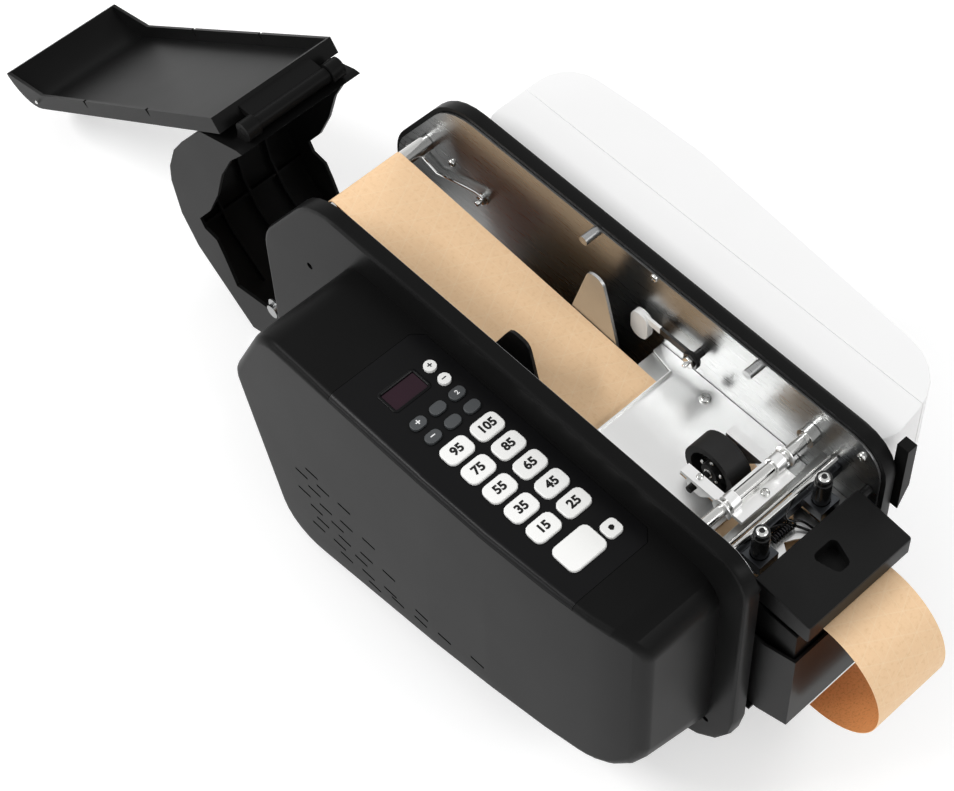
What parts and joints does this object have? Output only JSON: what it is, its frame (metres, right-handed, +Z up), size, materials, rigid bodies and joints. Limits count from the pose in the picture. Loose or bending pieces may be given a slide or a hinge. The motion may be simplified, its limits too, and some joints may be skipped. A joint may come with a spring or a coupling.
{
  "type": "gummed tape dispenser",
  "caption": "Electronic dispenser for water-activated paper tape: keypad housing, open tape channel with cutter, heater and water tank, side water bottle, rear cover and lid swung open.",
  "frame": {"origin": "on the floor under the middle of the tape channel, level with the middle of the side frame", "axes": "+Z up, -Y the way the tape comes out, +X towards the water bottle"},
  "size_m": [0.3053, 0.8748, 0.27],
  "materials": {
    "black_plastic": "satin black moulding",
    "panel_plastic": "smooth black",
    "dark_window": "dark maroon window",
    "black_paint": "satin black paint",
    "plate_steel": "brushed",
    "bright_steel": "polished",
    "cast_grey": "grey",
    "kraft_paper": "brown kraft",
    "rubber": "black rubber",
    "white_key": "off-white",
    "grey_key": "dark grey",
    "milky_plastic": "milky, slightly see-through",
    "board": "green board",
    "bristle": "bristles"
  },
  "bodies": {
    "frame": {"left_cover": "black_plastic", "right_cover": "black_plastic", "keypad_panel": "panel_plastic", "display_window": "dark_window", "left_side_plate": "plate_steel", "right_side_plate": "plate_steel", "base_pan": "black_paint", "circuit_board": "board", "drive_motor": "cast_grey", "power_supply": "cast_grey", "power_inlet": "panel_plastic", "tape_strip": "kraft_paper", "rear_bar": "bright_steel", "roll_rod": "bright_steel", "feed_plate": "plate_steel", "upper_plate": "bright_steel", "cross_rod": "bright_steel", "wire_spring": "bright_steel", "fixed_blade": "plate_steel", "water_tank": "black_plastic", "water_brush": "bristle", "bottle_bracket": "black_plastic"},
    "key_95_body": {"key_95": "white_key"},
    "key_105_body": {"key_105": "white_key"},
    "key_75_body": {"key_75": "white_key"},
    "key_85_body": {"key_85": "white_key"},
    "key_55_body": {"key_55": "white_key"},
    "key_65_body": {"key_65": "white_key"},
    "key_35_body": {"key_35": "white_key"},
    "key_45_body": {"key_45": "white_key"},
    "key_15_body": {"key_15": "white_key"},
    "key_25_body": {"key_25": "white_key"},
    "key_up_body": {"key_up": "grey_key"},
    "key_set_body": {"key_set": "grey_key"},
    "key_double_body": {"key_double": "grey_key"},
    "key_down_body": {"key_down": "grey_key"},
    "key_enter_body": {"key_enter": "grey_key"},
    "key_auto_body": {"key_auto": "grey_key"},
    "key_plus_body": {"key_plus": "white_key"},
    "key_minus_body": {"key_minus": "white_key"},
    "key_start_body": {"key_start": "white_key"},
    "key_cut_body": {"key_cut": "white_key"},
    "switch": {"power_switch": "panel_plastic"},
    "drive_roller": {"feed_roller": "rubber", "roller_gear": "cast_grey"},
    "pinion": {"motor_pinion": "cast_grey"},
    "yoke": {"wheel_yoke": "bright_steel"},
    "wheel": {"pressure_wheel": "rubber"},
    "roll": {"tape_roll": "kraft_paper"},
    "guide_left": {"left_roll_guide": "black_plastic"},
    "guide_right": {"right_roll_guide": "plate_steel"},
    "lever": {"edge_lever": "bright_steel"},
    "cutter": {"moving_blade": "plate_steel", "left_post": "panel_plastic", "right_post": "panel_plastic"},
    "heater": {"heater_block": "black_plastic"},
    "bottle": {"water_bottle": "milky_plastic", "bottle_valve": "panel_plastic"},
    "cover": {"rear_cover": "black_plastic"},
    "lid": {"top_lid": "black_plastic"}
  },
  "joints": [
    {"name": "key_95_press", "type": "slide", "parent": "frame", "child": "key_95_body", "axis": [0, 0, -1], "range_m": [0, 0.0012], "stiffness_N_per_m": 300, "springref_m": -0.0006},
    {"name": "key_105_press", "type": "slide", "parent": "frame", "child": "key_105_body", "axis": [0, 0, -1], "range_m": [0, 0.0012], "stiffness_N_per_m": 300, "springref_m": -0.0006},
    {"name": "key_75_press", "type": "slide", "parent": "frame", "child": "key_75_body", "axis": [0, 0, -1], "range_m": [0, 0.0012], "stiffness_N_per_m": 300, "springref_m": -0.0006},
    {"name": "key_85_press", "type": "slide", "parent": "frame", "child": "key_85_body", "axis": [0, 0, -1], "range_m": [0, 0.0012], "stiffness_N_per_m": 300, "springref_m": -0.0006},
    {"name": "key_55_press", "type": "slide", "parent": "frame", "child": "key_55_body", "axis": [0, 0, -1], "range_m": [0, 0.0012], "stiffness_N_per_m": 300, "springref_m": -0.0006},
    {"name": "key_65_press", "type": "slide", "parent": "frame", "child": "key_65_body", "axis": [0, 0, -1], "range_m": [0, 0.0012], "stiffness_N_per_m": 300, "springref_m": -0.0006},
    {"name": "key_35_press", "type": "slide", "parent": "frame", "child": "key_35_body", "axis": [0, 0, -1], "range_m": [0, 0.0012], "stiffness_N_per_m": 300, "springref_m": -0.0006},
    {"name": "key_45_press", "type": "slide", "parent": "frame", "child": "key_45_body", "axis": [0, 0, -1], "range_m": [0, 0.0012], "stiffness_N_per_m": 300, "springref_m": -0.0006},
    {"name": "key_15_press", "type": "slide", "parent": "frame", "child": "key_15_body", "axis": [0, 0, -1], "range_m": [0, 0.0012], "stiffness_N_per_m": 300, "springref_m": -0.0006},
    {"name": "key_25_press", "type": "slide", "parent": "frame", "child": "key_25_body", "axis": [0, 0, -1], "range_m": [0, 0.0012], "stiffness_N_per_m": 300, "springref_m": -0.0006},
    {"name": "key_up_press", "type": "slide", "parent": "frame", "child": "key_up_body", "axis": [0, 0, -1], "range_m": [0, 0.0012], "stiffness_N_per_m": 300, "springref_m": -0.0006},
    {"name": "key_set_press", "type": "slide", "parent": "frame", "child": "key_set_body", "axis": [0, 0, -1], "range_m": [0, 0.0012], "stiffness_N_per_m": 300, "springref_m": -0.0006},
    {"name": "key_double_press", "type": "slide", "parent": "frame", "child": "key_double_body", "axis": [0, 0, -1], "range_m": [0, 0.0012], "stiffness_N_per_m": 300, "springref_m": -0.0006},
    {"name": "key_down_press", "type": "slide", "parent": "frame", "child": "key_down_body", "axis": [0, 0, -1], "range_m": [0, 0.0012], "stiffness_N_per_m": 300, "springref_m": -0.0006},
    {"name": "key_enter_press", "type": "slide", "parent": "frame", "child": "key_enter_body", "axis": [0, 0, -1], "range_m": [0, 0.0012], "stiffness_N_per_m": 300, "springref_m": -0.0006},
    {"name": "key_auto_press", "type": "slide", "parent": "frame", "child": "key_auto_body", "axis": [0, 0, -1], "range_m": [0, 0.0012], "stiffness_N_per_m": 300, "springref_m": -0.0006},
    {"name": "key_plus_press", "type": "slide", "parent": "frame", "child": "key_plus_body", "axis": [0, 0, -1], "range_m": [0, 0.0012], "stiffness_N_per_m": 300, "springref_m": -0.0006},
    {"name": "key_minus_press", "type": "slide", "parent": "frame", "child": "key_minus_body", "axis": [0, 0, -1], "range_m": [0, 0.0012], "stiffness_N_per_m": 300, "springref_m": -0.0006},
    {"name": "key_start_press", "type": "slide", "parent": "frame", "child": "key_start_body", "axis": [0, 0, -1], "range_m": [0, 0.0012], "stiffness_N_per_m": 300, "springref_m": -0.0006},
    {"name": "key_cut_press", "type": "slide", "parent": "frame", "child": "key_cut_body", "axis": [0, 0, -1], "range_m": [0, 0.0012], "stiffness_N_per_m": 300, "springref_m": -0.0006},
    {"name": "switch_rock", "type": "hinge", "parent": "frame", "child": "switch", "pos_m": [-0.108, 0.14824, 0.116], "axis": [1, 0, 0], "range_deg": [-7, 7]},
    {"name": "feed_spin", "type": "hinge", "parent": "frame", "child": "drive_roller", "pos_m": [0, -0.1368, 0.188], "axis": [1, 0, 0], "continuous": true},
    {"name": "pinion_spin", "type": "hinge", "parent": "frame", "child": "pinion", "pos_m": [0, -0.1368, 0.1535], "axis": [1, 0, 0], "continuous": true},
    {"name": "yoke_lift", "type": "hinge", "parent": "frame", "child": "yoke", "pos_m": [0, -0.168, 0.2405], "axis": [1, 0, 0], "range_deg": [0, 28]},
    {"name": "wheel_spin", "type": "hinge", "parent": "yoke", "child": "wheel", "pos_m": [0, -0.1368, 0.2217], "axis": [1, 0, 0], "continuous": true},
    {"name": "roll_spin", "type": "hinge", "parent": "frame", "child": "roll", "pos_m": [0, 0.045, 0.112], "axis": [1, 0, 0], "continuous": true},
    {"name": "guide_left_slide", "type": "slide", "parent": "frame", "child": "guide_left", "axis": [-1, 0, 0], "range_m": [0, 0.015]},
    {"name": "guide_right_slide", "type": "slide", "parent": "frame", "child": "guide_right", "axis": [1, 0, 0], "range_m": [0, 0.015]},
    {"name": "lever_swing", "type": "hinge", "parent": "frame", "child": "lever", "pos_m": [0.045, -0.0735, 0.2285], "axis": [1, 0, 0], "range_deg": [0, 35]},
    {"name": "cutter_stroke", "type": "slide", "parent": "frame", "child": "cutter", "axis": [0, 0, -1], "range_m": [0, 0.005], "stiffness_N_per_m": 400, "springref_m": -0.006},
    {"name": "heater_lift", "type": "hinge", "parent": "frame", "child": "heater", "pos_m": [0, -0.215, 0.229], "axis": [1, 0, 0], "range_deg": [-70, 0]},
    {"name": "bottle_lift", "type": "slide", "parent": "frame", "child": "bottle", "axis": [0, 0, 1], "range_m": [0, 0.15]},
    {"name": "cover_swing", "type": "hinge", "parent": "frame", "child": "cover", "pos_m": [0, 0.114, 0.073], "axis": [1, 0, 0], "range_deg": [0, 51]},
    {"name": "lid_swing", "type": "hinge", "parent": "cover", "child": "lid", "pos_m": [0, 0.2615, 0.2345], "axis": [1, 0, 0], "range_deg": [0, 165]}
  ],
  "couplings": [
    {"joint": "pinion_spin", "follows": "feed_spin", "ratio": -2.8333},
    {"joint": "wheel_spin", "follows": "feed_spin", "ratio": -0.58823},
    {"joint": "roll_spin", "follows": "feed_spin", "ratio": 0.15}
  ]
}
